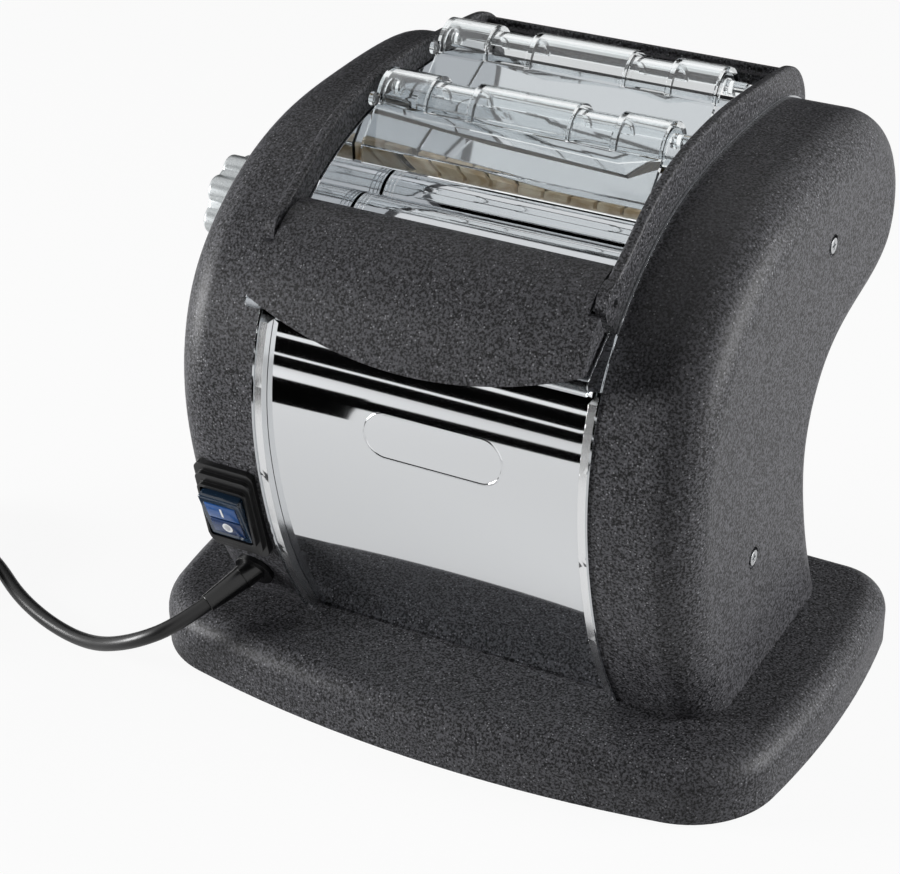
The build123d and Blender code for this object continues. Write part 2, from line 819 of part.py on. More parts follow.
# The front roller's sliding bearings, on the outside of the side plates. The left one has
# the pad that the knob's cam pushes.
with BuildPart() as bearing_blocks:
    z = front_roller[1]
    for side, sign in both_sides():
        boss_low, boss_high = span(sign, roller_half_length + 0.2, bearing_x[0])
        low, high = span(sign, *bearing_x)
        rod(boss_low, boss_high, front_roller, bush_radius)
        block((low, bearing_front_y, z - 10), (high, bearing_rear_y, z + 10))
        block((low, bearing_foot_y, z - 16), (high, bearing_front_y, z - 4))
    pad_low_z = knob_axis[1] - cam_pad_half_height
    pad_high_z = knob_axis[1] + cam_pad_half_height
    block((-cam_pad_x, bearing_front_y, pad_low_z), (-bearing_x[1], cam_pad_y, pad_high_z))
    drill(-cam_pad_x, bearing_x[1], front_roller, roller_shaft_radius + running_fit)
    drill(-bearing_x[1], bearing_x[1], link_bar_spot, link_bar_radius)
save(bearing_blocks, "bearing_blocks")

with BuildPart() as roller_link_bar:
    rod(-bearing_x[1], bearing_x[1], link_bar_spot, link_bar_radius)
save(roller_link_bar, "roller_link_bar")


# ---- cutter rollers -----------------------------------------------------------------

cutter_count = 11


def disc_positions(shift):
    """Middles of a cutter roller's discs, every second noodle width."""
    return [2 * noodle_width * (k - cutter_count // 2) + shift for k in range(cutter_count)]


def make_cutter(centre, positions):
    """A grooved cutter roller: a core with discs that pass between the other's discs."""
    with BuildPart() as cutter:
        rod(-cutter_half_length, cutter_half_length, centre, cutter_core_radius)
        for x in positions:
            rod(x - disc_width / 2, x + disc_width / 2, centre, cutter_radius)
        rod(shaft_left_x, -cutter_half_length, centre, cutter_shaft_radius)
        rod(cutter_half_length, shaft_right_x, centre, cutter_shaft_radius)
    return cutter


front_discs = disc_positions(0.0)
rear_discs = disc_positions(noodle_width)[:-1]
save(make_cutter(front_cutter, front_discs), "front_cutter_roller")
save(make_cutter(rear_cutter, rear_discs), "rear_cutter_roller")

with BuildPart() as front_cutter_gear:
    add_gear(gear_plane_x, front_cutter, cutter_teeth, gear_module, front_cutter_turn, cutter_shaft_radius)
save(front_cutter_gear, "front_cutter_gear")

with BuildPart() as rear_cutter_gear:
    add_gear(gear_plane_x, rear_cutter, cutter_teeth, gear_module, rear_cutter_turn, cutter_shaft_radius)
save(rear_cutter_gear, "rear_cutter_gear")


comb_spine = (13.4, 17.6)
comb_tip = 3.5
comb_rise = (3.0, 11.0)
comb_tooth_width = 5.6


def make_comb(centre, side_sign, gaps):
    """A comb whose teeth lie in a cutter roller's grooves and lift the noodles out."""
    spine_near, spine_far = [centre[0] + side_sign * distance for distance in comb_spine]
    tooth_tip = centre[0] + side_sign * comb_tip
    z_low, z_high = [centre[1] + rise for rise in comb_rise]
    with BuildPart() as comb:
        block(
            (-side_plate_inner_x, min(spine_far, spine_near), z_low),
            (side_plate_inner_x, max(spine_far, spine_near), z_high),
        )
        for x in gaps:
            near, tip = sorted((spine_near, tooth_tip))
            block((x - comb_tooth_width / 2, near, z_low), (x + comb_tooth_width / 2, tip, z_high))
        drill(-cutter_half_length, cutter_half_length, centre, cutter_core_radius + 0.4)
    return comb


save(make_comb(front_cutter, -1, rear_discs), "front_comb")
save(make_comb(rear_cutter, 1, front_discs[1:-1]), "rear_comb")

tray_line = [(-93.0, 190.0), (-90.0, 187.0), (-28.0, 184.5), (66.0, 186.0), (72.0, 196.0)]
tray_thickness = 1.2

with BuildPart() as exit_tray:
    strip(-side_plate_inner_x, side_plate_inner_x, tray_line, tray_thickness)
save(exit_tray, "exit_tray")


# ---- drive --------------------------------------------------------------------------

motor_radius = 36.0
motor_left_x = -52.0
motor_right_x = 60.0
motor_shaft_radius = 4.0

with BuildPart() as motor_body:
    rod(motor_left_x, motor_right_x, motor_centre, motor_radius, motor_shaft_radius + running_fit)
    fillet(motor_body.edges().filter_by(GeomType.CIRCLE).sort_by(SortBy.RADIUS)[-2:], 4.0)
save(motor_body, "motor_body")

with BuildPart() as motor_shaft:
    rod(motor_left_x + 4, wheel_plane_x[1], motor_centre, motor_shaft_radius)
    add_gear(wheel_plane_x, motor_centre, motor_pinion_teeth, wheel_module, motor_turn, motor_shaft_radius)
save(motor_shaft, "motor_shaft")

mount_half_width = 34.0
mount_thickness = 3.0

with BuildPart() as motor_bracket:
    mount_end_x = motor_right_x + mount_thickness
    (low_y, high_y), (low_z, high_z) = [(c - mount_half_width, c + mount_half_width) for c in motor_centre]
    block((motor_right_x, low_y, low_z), (mount_end_x, high_y, high_z))
    drill(motor_right_x, mount_end_x, motor_centre, 2 * motor_shaft_radius)
    for y in (low_y, high_y - mount_thickness):
        block((mount_end_x, y, low_z), (side_plate_inner_x, y + mount_thickness, high_z))
save(motor_bracket, "motor_bracket")

with BuildPart() as reduction_gear:
    add_gear(gear_plane_x, reduction_centre, pinion_teeth, gear_module, pinion_turn, axle_radius + running_fit)
    add_gear(wheel_plane_x, reduction_centre, wheel_teeth, wheel_module, wheel_turn, axle_radius + running_fit)
    hub_x = (gear_plane_x[1], wheel_plane_x[0])
    rod(*hub_x, reduction_centre, 6.5, axle_radius + running_fit)
save(reduction_gear, "reduction_gear")

with BuildPart() as idler_gear:
    add_gear(gear_plane_x, idler_centre, idler_teeth, gear_module, idler_turn, axle_radius + running_fit)
save(idler_gear, "idler_gear")

bridge_x = (106.0, 108.0)

with BuildPart() as gear_axles:
    for centre in (idler_centre, reduction_centre):
        rod(side_plate_outer_x, bridge_x[0], centre, axle_radius)
save(gear_axles, "gear_axles")

bridge_pillars = [(75.0, 190.0), (-58.0, 190.0), (8.0, 112.0)]
bridge_corners = [
    (84.0, 198.0),
    (36.0, 222.0),
    (26.0, 222.0),
    (-66.0, 198.0),
    (-66.0, 182.0),
    (2.0, 104.0),
    (16.0, 104.0),
    (22.0, 150.0),
    (80.0, 180.0),
]

with BuildPart() as gear_bridge:
    with BuildSketch(side_plane(bridge_x[0])):
        with BuildLine():
            Polyline(*bridge_corners, close=True)
        make_face()
    extrude(amount=bridge_x[1] - bridge_x[0])
    for spot in bridge_pillars:
        rod(side_plate_outer_x, bridge_x[0], spot, 4.0)
save(gear_bridge, "gear_bridge")

post_end_x = cover_outer_x - cover_wall

with BuildPart() as cover_posts:
    upper, lower = cover_screw_spots
    for spot, x_range in (
        (upper, (-post_end_x, -side_plate_outer_x)),
        (lower, (-post_end_x, -side_plate_outer_x)),
        (upper, (bridge_x[1], post_end_x)),
        (lower, (side_plate_outer_x, post_end_x)),
    ):
        rod(*x_range, spot, 4.5, cover_screw_radius)
save(cover_posts, "cover_posts")


# ---- thickness knob -----------------------------------------------------------------

knob_inner_x = -side_plate_outer_x - 5.2
cam_x = (knob_inner_x - 3.6, knob_inner_x)
cam_throw = roller_gap_max / 2

knob_collar_length = 3.0
knob_collar_radius = 15.0
knob_socket_x = knob_end_x + 4.0

with BuildPart() as thickness_knob:
    with BuildSketch(side_plane(knob_end_x)):
        lobe_reach = knob_radius - knob_lobe_radius
        with Locations(knob_axis):
            Circle(knob_core_radius)
        with Locations(*[polar(knob_axis, 360 / knob_lobes * k, lobe_reach) for k in range(knob_lobes)]):
            Circle(knob_lobe_radius)
    extrude(amount=knob_start_x - knob_collar_length - knob_end_x)
    fillet(thickness_knob.faces().sort_by(Axis.X)[0].edges(), 2.0)
    rod(knob_start_x - knob_collar_length, knob_start_x, knob_axis, knob_collar_radius)
    drill(knob_socket_x, knob_start_x, knob_axis, knob_shaft_radius)
save(thickness_knob, "thickness_knob")

cam_centre = (knob_axis[0] + cam_throw, knob_axis[1])
cam_radius = 7.4

with BuildPart() as knob_shaft:
    rod(knob_socket_x, knob_inner_x, knob_axis, knob_shaft_radius)
    rod(*cam_x, cam_centre, cam_radius)
save(knob_shaft, "knob_shaft")

bracket_plate_x = (-99.0, -97.0)
bracket_front_y = knob_axis[0] - 28.0
bracket_rear_y = knob_axis[0] + 19.0
bracket_half_height = 14.0
bracket_thickness = 2.0

with BuildPart() as knob_bracket:
    low_z = knob_axis[1] - bracket_half_height
    high_z = knob_axis[1] + bracket_half_height
    block((bracket_plate_x[0], bracket_front_y, low_z), (bracket_plate_x[1], bracket_rear_y, high_z))
    for low_y in (bracket_front_y, bracket_rear_y - bracket_thickness):
        block((bracket_plate_x[1], low_y, low_z), (-side_plate_outer_x, low_y + bracket_thickness, high_z))
    drill(*bracket_plate_x, knob_axis, knob_shaft_radius + running_fit)
save(knob_bracket, "knob_bracket")


# ---- switch -------------------------------------------------------------------------

pocket_depth = 12.0

with BuildPart() as switch_pod:
    for width, height, top, radius in ((31.0, 50.0, 2.2, 4.0), (28.5, 42.0, 4.4, 3.5), (25.5, 33.0, bezel_height, 3.0)):
        with BuildSketch(switch_plane.offset(-1.6)):
            RectangleRounded(width, height, radius)
        extrude(amount=top + 1.6)
    add(cover_form(-1, 0.0), mode=Mode.SUBTRACT)
    with BuildSketch(switch_plane.offset(-pocket_depth)):
        RectangleRounded(rocker_window[0] + 1.4, rocker_window[1] + 1.4, 2.0)
    extrude(amount=pocket_depth + 1.0)
    with BuildSketch(switch_plane.offset(-pocket_depth)):
        RectangleRounded(*rocker_window, 1.5)
    extrude(amount=pocket_depth + bezel_height + 1, mode=Mode.SUBTRACT)
save(switch_pod, "switch_pod")

rocker_pivot_depth = 2.0
rocker_pivot = Vector(*switch_centre) + switch_plane.z_dir * rocker_pivot_depth
rocker_plane = leaning_plane(tuple(rocker_pivot), switch_lean + rocker_tilt)

with BuildPart() as rocker:
    with BuildSketch(rocker_plane.offset(-5.0)):
        RectangleRounded(rocker_size[0], rocker_size[1] - 5.0, 1.2)
    with BuildSketch(rocker_plane.offset(1.5)):
        RectangleRounded(*rocker_size, 1.5)
    loft()
    with BuildSketch(rocker_plane.offset(1.5)):
        RectangleRounded(*rocker_size, 1.5)
    extrude(amount=4.5)
    fillet(rocker.faces().sort_by(Axis(rocker_plane.origin, rocker_plane.z_dir))[-1].edges(), 0.8)
save(rocker, "rocker")

with BuildPart() as switch_body:
    with BuildSketch(switch_plane.offset(-pocket_depth - 15)):
        RectangleRounded(21.0, 28.0, 1.5)
    extrude(amount=15)
save(switch_body, "switch_body")
print("rocker pivot", tuple(rocker_pivot))


# ---- left side electrics ------------------------------------------------------------

gland_slope = 25.7
gland_face = leaning_plane((gland_centre[0], gland_centre[1] + 0.6, gland_centre[2]), gland_slope)
gland_rim_radius = 9.5
gland_rim_height = 2.4
gland_tube_radius = 5.8
boot_start_offset = 8.0

with BuildPart() as cable_gland:
    with BuildSketch(gland_face.offset(-2.0)):
        Circle(gland_rim_radius)
    extrude(amount=2.0 + gland_rim_height)
    add(cover_form(-1, 0.0), mode=Mode.SUBTRACT)
    with BuildSketch(gland_plane.offset(-10.0)):
        Circle(gland_tube_radius)
    extrude(amount=10.0 + boot_start_offset)
    with BuildSketch(gland_plane.offset(-12.0)):
        Circle(cord_diameter / 2 + 0.1)
    extrude(amount=14.0 + boot_start_offset, mode=Mode.SUBTRACT)
save(cable_gland, "cable_gland")

with BuildPart() as strain_relief:
    with BuildSketch(gland_plane.offset(boot_start_offset)):
        Circle(5.6)
    with BuildSketch(gland_plane.offset(boot_length)):
        Circle(cord_diameter / 2 + 0.8)
    loft()
save(strain_relief, "strain_relief")

terminal_low = (-108.0, -66.0, 44.0)
terminal_high = (-84.0, -50.0, 62.0)
terminal_screw_spots = [(x, -58.0) for x in (-102.0, -96.0, -90.0)]
terminal_screw_radius = 1.8
terminal_screw_depth = 4.0
terminal_plate_low = (-112.0, -50.0, 44.0)
terminal_plate_high = (-side_plate_outer_x, -48.5, 70.0)

with BuildPart() as terminal_block:
    block(terminal_low, terminal_high)
    with BuildSketch(Plane.XY.offset(terminal_high[2])):
        with Locations(*terminal_screw_spots):
            Circle(terminal_screw_radius)
    extrude(amount=-terminal_screw_depth, mode=Mode.SUBTRACT)
    block(terminal_plate_low, terminal_plate_high)
save(terminal_block, "terminal_block")

safety_switch_low = (-92.0, 50.0, 214.0)
safety_switch_high = (-side_plate_outer_x, 70.0, 226.0)

with BuildPart() as safety_switch:
    block(safety_switch_low, safety_switch_high)
save(safety_switch, "safety_switch")

capacitor_spot = (5.0, 150.0)
capacitor_radius = 14.0
capacitor_end_x = -112.0

with BuildPart() as run_capacitor:
    rod(capacitor_end_x, -side_plate_outer_x, capacitor_spot, capacitor_radius)
    fillet(run_capacitor.edges().sort_by(Axis.X)[0], 2.0)
save(run_capacitor, "run_capacitor")


# ---- mains cord ---------------------------------------------------------------------

coil_centre = (-310.9, -102.5)
coil_middle_radius = 38.5
coil_half_width = 7.0
coil_inner_radius = coil_middle_radius - coil_half_width
coil_outer_radius = coil_middle_radius + coil_half_width
coil_height = 21.5
floor_clearance = 0.1

cord_floor_z = cord_diameter / 2 + floor_clearance
cord_route = [
    tuple(boot_end),
    (-119.0, -129.5, 35.5),
    (-132.5, -136.0, 28.2),
    (-150.0, -134.5, 18.5),
    (-168.0, -128.5, 9.3),
    (-187.0, -122.5, 4.4),
    (-208.0, -116.0, cord_floor_z),
    (-231.0, -105.5, cord_floor_z),
    (-254.0, -90.0, cord_floor_z),
    (-272.0, -81.0, cord_floor_z),
]


def bend_radii(route):
    """Radius of the tangent arc at each inner point, as large as its two runs allow."""
    radii = []
    points = [Vector(*p) for p in route]
    for before, here, after in zip(points, points[1:], points[2:]):
        turn = (here - before).get_angle(after - here)
        shorter = min((here - before).length, (after - here).length)
        radii.append(0.45 * shorter / tan(radians(turn) / 2))
    return radii


radii = bend_radii(cord_route)
print("cord radii", [round(r, 1) for r in radii])

with BuildPart() as cord_tube:
    with BuildLine() as cord_path:
        FilletPolyline(*cord_route, radius=radii)
    with BuildSketch(Plane(origin=cord_path.line @ 0, z_dir=cord_path.line % 0)):
        Circle(cord_diameter / 2)
    sweep()
tube_length = cord_path.wire().length
tube_volume = tube_length * pi * (cord_diameter / 2) ** 2
print("cord tube length", round(tube_length, 1), "volume ratio", round(cord_tube.part.volume / tube_volume, 4))
save(cord_tube, "cord_tube")

with BuildPart() as cord_coil:
    with BuildSketch(Plane.XY.offset(floor_clearance)):
        with Locations(coil_centre):
            Circle(coil_outer_radius)
            Circle(coil_inner_radius, mode=Mode.SUBTRACT)
    extrude(amount=coil_height)
    fillet(cord_coil.edges(), 3.0)
save(cord_coil, "cord_coil")

plug_heading = degrees(atan2(-0.787, 0.617))
plug_tail_start = polar(polar(coil_centre, plug_heading - 90, coil_middle_radius), plug_heading, 23.0)
plug_axis_z = 18.2
plug_dir = (cos(radians(plug_heading)), sin(radians(plug_heading)), 0)
plug_plane = Plane(origin=(*plug_tail_start, plug_axis_z), x_dir=(0, 0, 1), z_dir=plug_dir)
plug_tail_length = 22.0
plug_body_length = 30.0
plug_face = plug_tail_length + plug_body_length
plug_neck_length = 12.0
plug_size = (35.0, 35.0)
plug_corner = 16.0
pin_spacing = 19.0
pin_length = 19.0
pin_radius = 2.4

with BuildPart() as mains_plug:
    with BuildSketch(plug_plane):
        Circle(4.6)
    with BuildSketch(plug_plane.offset(plug_tail_length)):
        Circle(7.0)
    loft()
    with BuildSketch(plug_plane.offset(plug_tail_length)):
        RectangleRounded(24.0, 26.0, 9.0)
    with BuildSketch(plug_plane.offset(plug_tail_length + plug_neck_length)):
        RectangleRounded(*plug_size, plug_corner)
    loft()
    with BuildSketch(plug_plane.offset(plug_tail_length + plug_neck_length)):
        RectangleRounded(*plug_size, plug_corner)
    extrude(amount=plug_body_length - plug_neck_length)
    with BuildSketch(plug_plane.offset(plug_face)):
        with Locations((0, -pin_spacing / 2), (0, pin_spacing / 2)):
            Circle(pin_radius)
    extrude(amount=pin_length)
    pin_ends = mains_plug.faces().sort_by(Axis(plug_plane.origin, plug_plane.z_dir))[-2:]
    fillet(pin_ends.edges(), pin_radius / 2)
save(mains_plug, "mains_plug")
print("plug tail", plug_tail_start, "heading", plug_heading)
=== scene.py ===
import json
from math import cos, pi, radians, sin

import bmesh
import bpy
from mathutils import Matrix, Vector
from mathutils.bvhtree import BVHTree


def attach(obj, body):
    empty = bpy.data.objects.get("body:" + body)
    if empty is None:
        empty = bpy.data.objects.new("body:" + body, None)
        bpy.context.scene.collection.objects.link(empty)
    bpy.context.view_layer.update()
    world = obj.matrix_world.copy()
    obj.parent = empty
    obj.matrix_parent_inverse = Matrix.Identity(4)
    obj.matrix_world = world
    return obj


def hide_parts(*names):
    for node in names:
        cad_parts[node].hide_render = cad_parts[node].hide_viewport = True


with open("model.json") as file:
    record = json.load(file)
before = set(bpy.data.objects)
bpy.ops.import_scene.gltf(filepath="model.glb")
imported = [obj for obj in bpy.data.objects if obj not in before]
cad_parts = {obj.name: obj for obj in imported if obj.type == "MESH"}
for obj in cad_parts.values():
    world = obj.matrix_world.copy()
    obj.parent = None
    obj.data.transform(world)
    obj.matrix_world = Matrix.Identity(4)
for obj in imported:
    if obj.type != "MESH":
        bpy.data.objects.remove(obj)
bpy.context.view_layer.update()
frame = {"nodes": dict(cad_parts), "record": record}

# Electric pasta maker. Metres, +X to the operator's right, +Y away, +Z up.
# Sizes in the dictionaries are in mm unless a note says otherwise.
nodes = frame["nodes"]
mm = 0.001
print("frame loaded:", len(nodes), "nodes")


def placeObject(name, data):
    made = bpy.data.objects.new(name, data)
    bpy.context.scene.collection.objects.link(made)
    return made


camera = {
    "place": (0.43183, -0.85134, 0.65731),    # metres
    "ahead": (-0.4229, 0.7532, -0.5038),
    "up": (-0.2324, 0.4472, 0.8637),
    "lens": 95.73,
    "sensor": 36.0,
    "farClip": 20.0,                          # metres
}


def makeCamera():
    ahead = Vector(camera["ahead"]).normalized()
    right = ahead.cross(Vector(camera["up"])).normalized()
    up = right.cross(ahead)
    eye = placeObject("camera", bpy.data.cameras.new("camera"))
    eye.data.lens = camera["lens"]
    eye.data.sensor_width = camera["sensor"]
    eye.data.clip_end = camera["farClip"]
    turn = Matrix((right, up, -ahead)).transposed().to_4x4()
    eye.matrix_world = Matrix.Translation(camera["place"]) @ turn
    bpy.context.scene.camera = eye
    bpy.context.scene.view_settings.view_transform = "Standard"


makeCamera()
print("camera placed")


def linear(hexText):
    # sRGB hex to the linear colour that sockets take
    parts = [int(hexText[k:k + 2], 16) / 255 for k in (1, 3, 5)]
    return [p / 12.92 if p <= 0.04045 else ((p + 0.055) / 1.055) ** 2.4 for p in parts] + [1.0]


def addNode(tree, kind, settings=None, links=None):
    # one node: settings are input sockets by name or number, attributes, or a ramp's two stops,
    # and links are input: output socket
    made = tree.nodes.new("ShaderNode" + kind)
    for name, value in (settings or {}).items():
        if name == "stops":
            for point, (at, colour) in zip(made.color_ramp.elements, value):
                point.position = at
                point.color = linear(colour)
        elif isinstance(name, int) or name in made.inputs:
            made.inputs[name].default_value = value
        else:
            setattr(made, name, value)
    for name, source in (links or {}).items():
        tree.links.new(source, made.inputs[name])
    return made


def perMm(size):
    # texture scale that gives features of this many millimetres on metre coordinates
    return 1000.0 / size


def bareTree(owner):
    # the node tree of a material or a world, emptied
    owner.use_nodes = True
    owner.node_tree.nodes.clear()
    return owner.node_tree


def newFinish(name):
    # an empty material, its tree, and the object's own coordinates
    made = bpy.data.materials.new(name)
    tree = bareTree(made)
    return made, tree, addNode(tree, "TexCoord").outputs["Object"]


def closeFinish(tree, settings, height, depth, strength, links=None):
    # the surface itself, with a relief of this height and depth over it
    relief = addNode(tree, "Bump", {"Strength": strength, "Distance": depth * mm}, {"Height": height})
    shader = addNode(
        tree, "BsdfPrincipled", settings, {"Normal": relief.outputs["Normal"], **(links or {})}
    )
    addNode(tree, "OutputMaterial", links={"Surface": shader.outputs["BSDF"]})


powder = {
    "dark": "#0d0d0e",
    "light": "#5c5c60",
    "fleck": "#9a9a9e",
    "grain": 1.1,              # between the grains that the baked powder leaves
    "detail": 2.0,
    "grit": 0.65,              # how strong the finer grains are
    "stops": (0.41, 0.60),     # where the noise goes from dark to light
    "cell": 1.1,               # about one cell in eleven holds a pale grain
    "chosen": (0.86, 0.96),
    "reach": (0.42, 0.18),     # a pale grain's edge and its full core, as shares of a cell
    "depth": 0.11,
    "roughness": 0.46,
    "specular": 0.24,
}


def makePowderCoat():
    # polyester powder coat, baked to a sandy texture: charcoal grains on near black
    made, tree, place = newFinish("charcoalPowderCoat")
    grains = addNode(
        tree, "TexNoise",
        {"Scale": perMm(powder["grain"]), "Detail": powder["detail"], "Roughness": powder["grit"]},
        {"Vector": place},
    )
    body = addNode(
        tree, "ValToRGB", {"stops": list(zip(powder["stops"], (powder["dark"], powder["light"])))},
        {"Fac": grains.outputs["Fac"]},
    )
    cells = addNode(tree, "TexVoronoi", {"Scale": perMm(powder["cell"])}, {"Vector": place})
    chance = addNode(tree, "SeparateColor", links={"Color": cells.outputs["Color"]})
    chosen = addNode(
        tree, "MapRange", {"From Min": powder["chosen"][0], "From Max": powder["chosen"][1]},
        {"Value": chance.outputs["Red"]},
    )
    middle = addNode(
        tree, "MapRange", {"From Min": powder["reach"][0], "From Max": powder["reach"][1]},
        {"Value": cells.outputs["Distance"]},
    )
    pale = addNode(
        tree, "Math", {"operation": "MULTIPLY"}, {0: chosen.outputs["Result"], 1: middle.outputs["Result"]}
    )
    # the mix node's inputs 6 and 7 are its two colours, and output 2 is the mixed one
    mixed = addNode(
        tree, "Mix", {"data_type": "RGBA", 7: linear(powder["fleck"])},
        {0: pale.outputs[0], 6: body.outputs["Color"]},
    )
    closeFinish(
        tree, {"Roughness": powder["roughness"], "Specular IOR Level": powder["specular"]},
        grains.outputs["Fac"], powder["depth"], 1.0, {"Base Color": mixed.outputs[2]},
    )
    return made


chrome = {"swell": 30.0, "strength": 0.3}


def makeChrome(name, colour, roughness, wave):
    # bright plated or mirror-polished steel: a mirror with the faintest waviness
    made, tree, place = newFinish(name)
    waves = addNode(tree, "TexNoise", {"Scale": perMm(chrome["swell"]), "Detail": 1.0}, {"Vector": place})
    closeFinish(
        tree, {"Base Color": linear(colour), "Metallic": 1.0, "Roughness": roughness},
        waves.outputs["Fac"], wave, chrome["strength"],
    )
    return made


# smoothest and roughest are shares of the roughness that a finish asks for
brushed = {"detail": 4.0, "strength": 0.5, "smoothest": 0.75, "roughest": 1.4}


def makeBrushed(name, colour, roughness, stretch, line=0.35, depth=0.012):
    # sheet or turned metal with fine lines from the polishing belt, running along one axis
    made, tree, place = newFinish(name)
    mapped = addNode(tree, "Mapping", {"Scale": stretch}, {"Vector": place})
    lines = addNode(
        tree, "TexNoise", {"Scale": perMm(line), "Detail": brushed["detail"]},
        {"Vector": mapped.outputs["Vector"]},
    )
    rough = addNode(
        tree, "MapRange",
        {"To Min": roughness * brushed["smoothest"], "To Max": roughness * brushed["roughest"]},
        {"Value": lines.outputs["Fac"]},
    )
    closeFinish(
        tree, {"Base Color": linear(colour), "Metallic": 1.0}, lines.outputs["Fac"], depth,
        brushed["strength"], {"Roughness": rough.outputs["Result"]},
    )
    return made


clear = {
    "colour": "#f6f9fa",
    "roughness": 0.01,
    "swell": 22.0,
    "depth": 0.02,
    "strength": 0.12,
}
polycarbonateIor = 1.585


def makeClear():
    # polycarbonate, injection moulded clear: bright sharp edges, faces faintly wavy from the mould
    made, tree, place = newFinish("clearPolycarbonate")
    waves = addNode(tree, "TexNoise", {"Scale": perMm(clear["swell"]), "Detail": 1.0}, {"Vector": place})
    settings = {
        "Base Color": linear(clear["colour"]), "Transmission Weight": 1.0, "Roughness": clear["roughness"],
        "IOR": polycarbonateIor,
    }
    closeFinish(tree, settings, waves.outputs["Fac"], clear["depth"], clear["strength"])
    return made


plastic = {"detail": 2.0, "strength": 0.6}


def makePlastic(name, colour, roughness, grain=0.6, depth=0.02, extra=None):
    # moulded thermoplastic: even colour with the fine texture of an eroded mould
    made, tree, place = newFinish(name)
    fine = addNode(tree, "TexNoise", {"Scale": perMm(grain), "Detail": plastic["detail"]}, {"Vector": place})
    closeFinish(
        tree, {"Base Color": linear(colour), "Roughness": roughness, **(extra or {})},
        fine.outputs["Fac"], depth, plastic["strength"],
    )
    return made


clouded = {"detail": 4.0, "stops": (0.34, 0.62), "depth": 0.02, "strength": 0.4}


def makeClouded(name, dark, light, roughness, cloud, extra=None):
    # cloudy moulding or lacquer: two near colours that drift into each other
    made, tree, place = newFinish(name)
    drift = addNode(tree, "TexNoise", {"Scale": perMm(cloud), "Detail": clouded["detail"]}, {"Vector": place})
    tint = addNode(
        tree, "ValToRGB", {"stops": list(zip(clouded["stops"], (dark, light)))}, {"Fac": drift.outputs["Fac"]}
    )
    closeFinish(
        tree, {"Roughness": roughness, **(extra or {})}, drift.outputs["Fac"], clouded["depth"],
        clouded["strength"], {"Base Color": tint.outputs["Color"]},
    )
    return made


powderCoat = makePowderCoat()
chromePlate = makeChrome("chromePlate", "#e2e4e6", 0.04, 0.02)
mirrorSteel = makeChrome("mirrorPolishedStainless", "#c9cccf", 0.07, 0.03)
groundSteel = makeBrushed("groundRollerSteel", "#cdd0d3", 0.06, (0.02, 1.0, 1.0), 2.0, 0.0006)
# the cutter rollers in a dark grey steel, kept as dark as they look between the rollers
darkCutterSteel = makeBrushed("darkGreyCutterSteel", "#3a3b3e", 0.35, (1.0, 0.1, 0.1), 0.5)
satinTrim = makeBrushed("satinAluminium", "#f0f1f2", 0.22, (1.0, 0.04, 0.04), 0.35, 0.006)
zincSteel = makeBrushed("zincPlatedSteel", "#a4a7a9", 0.34, (0.05, 1.0, 1.0), 0.5)
screwSteel = makeBrushed("zincPlatedScrewSteel", "#c4c6c8", 0.22, (1.0, 1.0, 1.0), 0.4, 0.01)
clearGuard = makeClear()
# acetal, a little stained by flour and age
creamAcetal = makeClouded("creamAcetal", "#cdb18a", "#efdfc2", 0.40, 7.0)
# ABS under silver satin lacquer: soft sheen, tiny metal flakes drawn as a fine cloud
satinSilver = makeClouded(
    "satinSilverLacquer", "#b7bcbe", "#d6dadb", 0.30, 0.5, {"Metallic": 0.45, "Coat Weight": 0.2}
)
# tinted polycarbonate over the lit rocker: smoky blue at the rim, clearer blue in the face
smokyBlue = makePlastic(
    "smokyBluePolycarbonate", "#2b3f55", 0.08, 2.0, 0.01,
    {"Transmission Weight": 0.35, "IOR": polycarbonateIor},
)
# painted light and shade on the rocker: one blue, lighter for the upper half and darker for the lower, as the
# two faces of its V would be lit
paintedLightBlue = makePlastic("bluePolycarbonatePaintedLight", "#1d4f8e", 0.14, 2.0, 0.01)
paintedShadeBlue = makePlastic("bluePolycarbonatePaintedShade", "#12305c", 0.14, 2.0, 0.01)
markWhite = makePlastic("whitePadPrint", "#f4f6f8", 0.5)
blackAbs = makePlastic("blackAbs", "#111112", 0.30)
softBlack = makePlastic("blackSoftPvc", "#0c0c0d", 0.24, 1.0, 0.02)
cordPvc = makePlastic("blackPvcSheath", "#0b0b0c", 0.36, 1.2, 0.03)
footRubber = makePlastic("footRubber", "#1b1b1c", 0.75, 0.8, 0.05)
plugBrass = makeBrushed("nickelPlatedBrass", "#c9c2b0", 0.2, (1.0, 1.0, 1.0), 0.4, 0.01)
sinteredBronze = makeBrushed("sinteredBronze", "#9c7a45", 0.42, (1.0, 1.0, 1.0), 0.4, 0.03)
gearNylon = makePlastic("whiteNylon", "#dedad0", 0.45)
machinedSteel = makeBrushed("machinedSteel", "#8f9294", 0.28, (0.06, 1.0, 1.0), 0.3)
motorPaint = makePlastic("greyStovedPaint", "#6e7174", 0.40, 1.0, 0.04)
print("finishes made")

slotFinish = {
    "textured_black": powderCoat,
    "chrome": chromePlate,
    "polished_steel": mirrorSteel,
    "zinc_steel": zincSteel,
    "clear_polycarbonate": clearGuard,
    "cream_nylon": creamAcetal,
    "silver_plastic": satinSilver,
    "blue_rocker": smokyBlue,
    "black_plastic": blackAbs,
    "cord_pvc": cordPvc,
    "rubber": footRubber,
    "bronze": sinteredBronze,
    "gear_nylon": gearNylon,
    "gear_steel": machinedSteel,
    "motor_case": motorPaint,
}
# nodes whose finish differs from the plain one of their slot
ownFinish = {
    "left_trim_strip": satinTrim,
    "right_trim_strip": satinTrim,
    "front_smooth_roller": groundSteel,
    "rear_smooth_roller": groundSteel,
    "front_cutter_roller": darkCutterSteel,
    "rear_cutter_roller": darkCutterSteel,
    "cover_screws": screwSteel,
    "strain_relief": softBlack,
    "cable_gland": softBlack,
}
slotOf = {row["node"]: row["material_slot"] for row in frame["record"]["subparts"]}
bodyOf = {
    name: body for body, names in frame["record"]["behaviour"]["bodies"].items() for name in names
}


